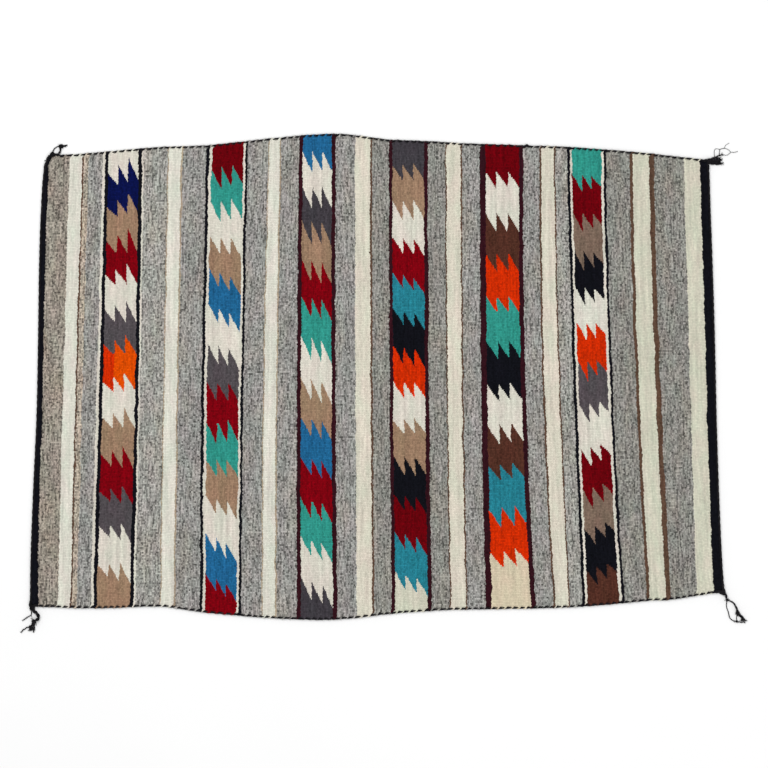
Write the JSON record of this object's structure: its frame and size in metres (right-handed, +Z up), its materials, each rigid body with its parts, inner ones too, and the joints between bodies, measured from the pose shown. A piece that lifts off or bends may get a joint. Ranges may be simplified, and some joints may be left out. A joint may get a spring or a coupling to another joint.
{
  "type": "flatwoven wool rug",
  "caption": "Flat handwoven wool rug with striped bands, serrated colour columns, twined edge cords and a knotted tassel at each corner.",
  "frame": {"origin": "on the surface the rug lies on, under the middle of the whole rug with its tassels", "axes": "+X along the warps, the long way, to the right as pictured; +Y across, along the stripes; +Z up, out of the face"},
  "size_m": [1.476, 1.0148, 0.0068],
  "materials": {
    "woven_wool": "matt handspun wool, weft-faced, in stripes and serrated columns of many colours",
    "cord_wool": "matt black plied wool"
  },
  "bodies": {
    "root": {"web": "woven_wool", "selvedge_cord_top": "cord_wool", "selvedge_cord_bottom": "cord_wool", "end_cord_left": "cord_wool", "end_cord_right": "cord_wool", "tassel_top_left": "cord_wool", "tassel_top_right": "cord_wool", "tassel_bottom_left": "cord_wool", "tassel_bottom_right": "cord_wool"}
  },
  "joints": []
}
